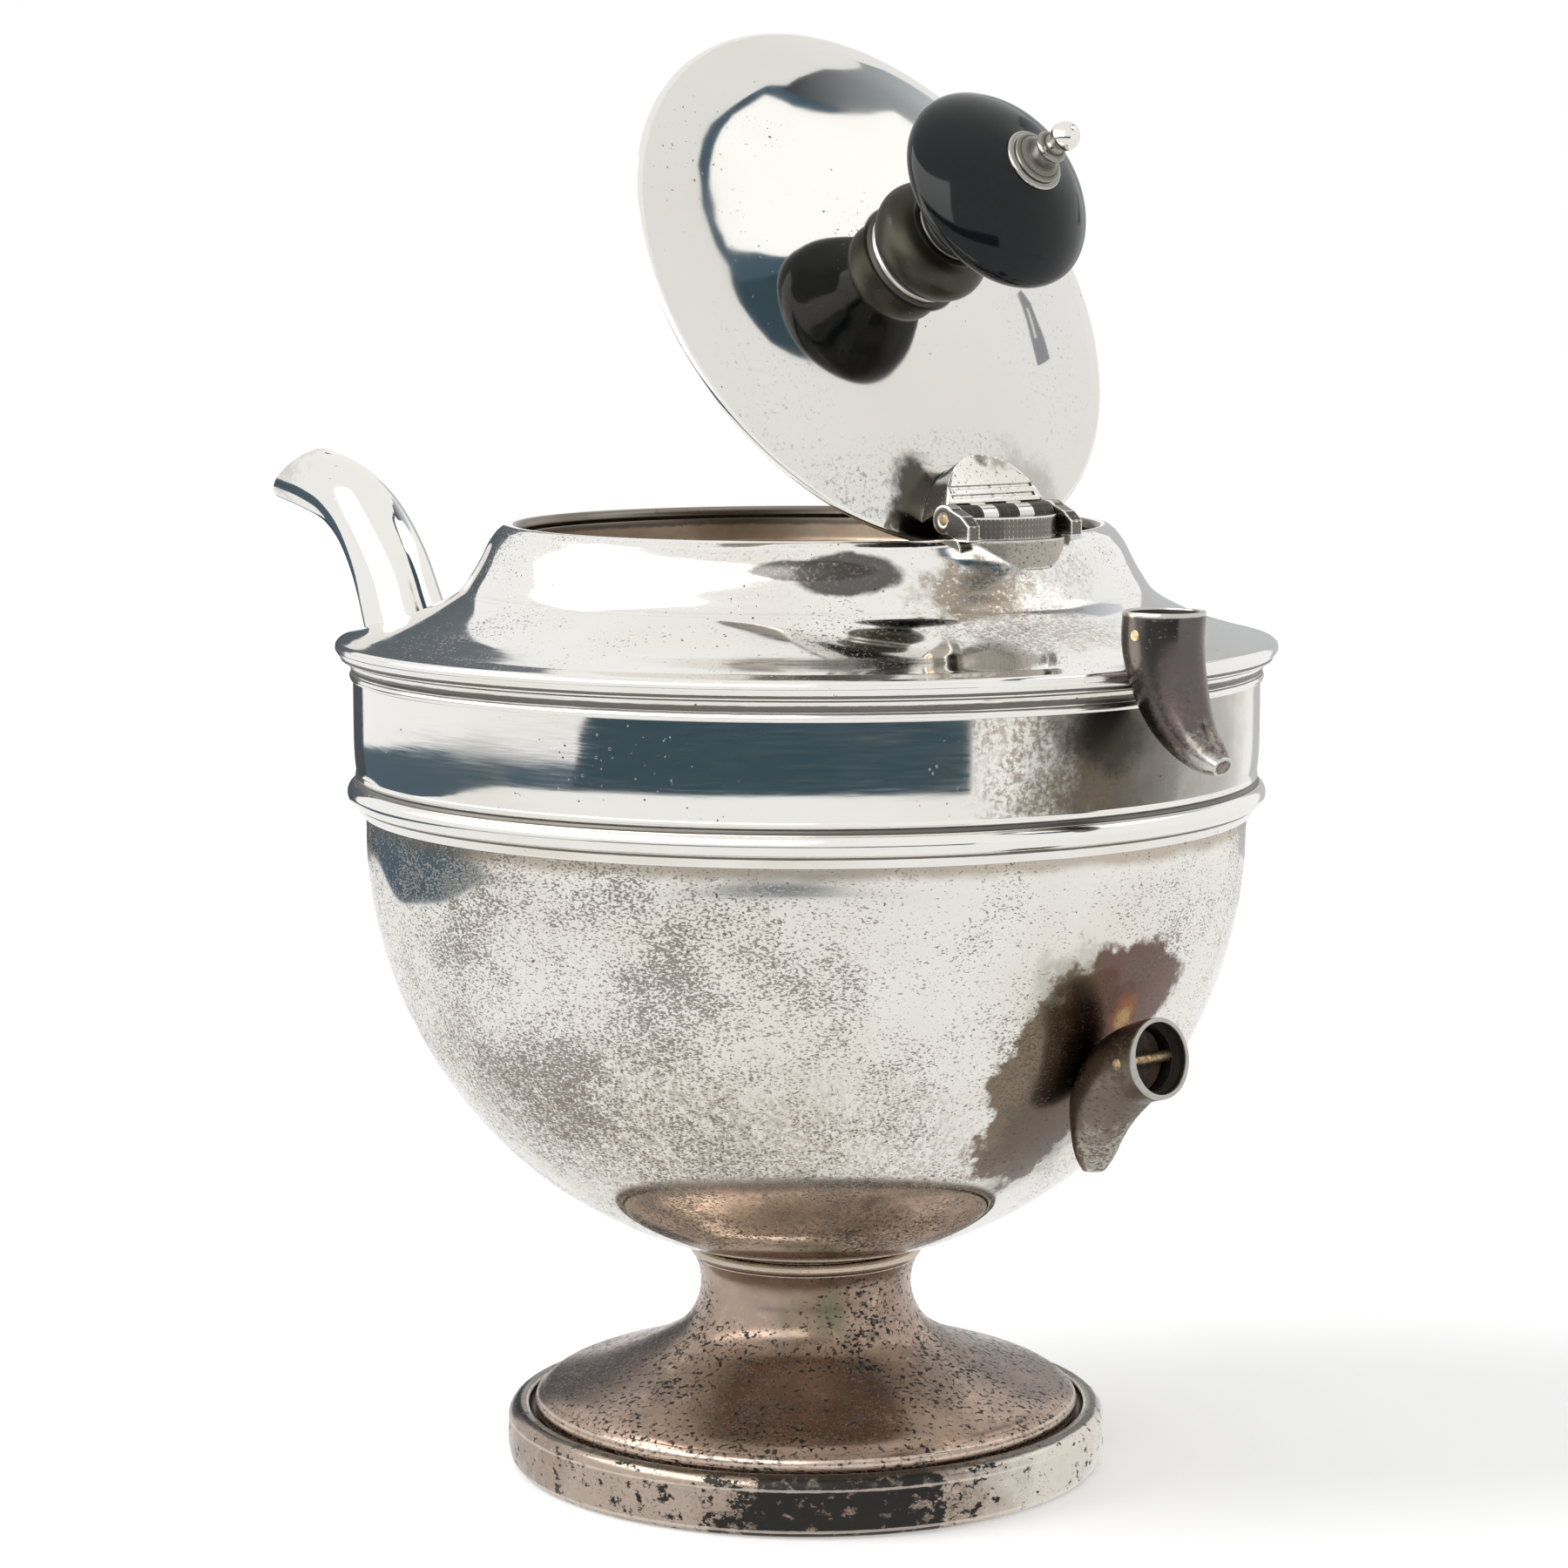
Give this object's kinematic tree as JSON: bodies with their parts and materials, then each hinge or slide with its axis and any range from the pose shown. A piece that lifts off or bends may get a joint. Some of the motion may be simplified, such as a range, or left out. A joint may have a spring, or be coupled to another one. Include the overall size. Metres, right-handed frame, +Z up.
{
  "type": "footed teapot",
  "caption": "Footed metal teapot with a hemispherical bowl, banded drum, hinged lid with a dark knob, curved spout and open handle sockets.",
  "frame": {"origin": "on the pot's axis, level with the face of the foot that rests on the table", "axes": "+Z up along the pot's axis, +X from the axis towards the handle sockets and the hinge, -X towards the spout"},
  "size_m": [0.2165, 0.1402, 0.2143],
  "materials": {
    "bright_silver": "old polished silver plate with fine scratches and specks",
    "worn_silver": "polished silver plate with fine grey-brown tarnish and pits",
    "tarnished_foot": "brown tarnish with black specks, rubbed bright on the edges",
    "dark_silver": "dark tarnish with bright worn edges",
    "olive_silver": "dull olive-brown tarnish",
    "stained_interior": "tea-stained brown metal",
    "black_knob": "gloss black, lightly speckled",
    "pin_brass": "dull yellow metal, worn bright on the end faces",
    "charred_wood": "dark broken end grain"
  },
  "bodies": {
    "pot": {"foot_rim": "tarnished_foot", "foot_dome": "tarnished_foot", "neck_collar": "tarnished_foot", "bowl": "worn_silver", "girdle_moulding": "bright_silver", "band": "worn_silver", "flange_moulding": "worn_silver", "shoulder": "bright_silver", "mouth_ring": "stained_interior", "spout": "bright_silver", "upper_socket": "dark_silver", "lower_socket": "dark_silver", "upper_socket_pin": "pin_brass", "lower_socket_pin": "pin_brass", "tenon_remnant": "charred_wood", "hinge_seat": "bright_silver", "hinge_body_leaf": "bright_silver", "hinge_body_knuckles": "bright_silver", "hinge_pin": "pin_brass"},
    "lid": {"hinge_lid_leaf": "bright_silver", "hinge_lid_knuckles": "bright_silver", "lid": "bright_silver", "knob_base": "olive_silver", "knob_collar": "olive_silver", "knob": "black_knob", "finial_washer": "bright_silver", "finial": "bright_silver", "nut_washer": "bright_silver", "knob_nut": "pin_brass"}
  },
  "joints": [
    {"name": "lid_hinge", "type": "hinge", "parent": "pot", "child": "lid", "pos_m": [0.0408, 0, 0.145], "axis": [0, 1, 0], "range_deg": [-61.3, 35]}
  ]
}
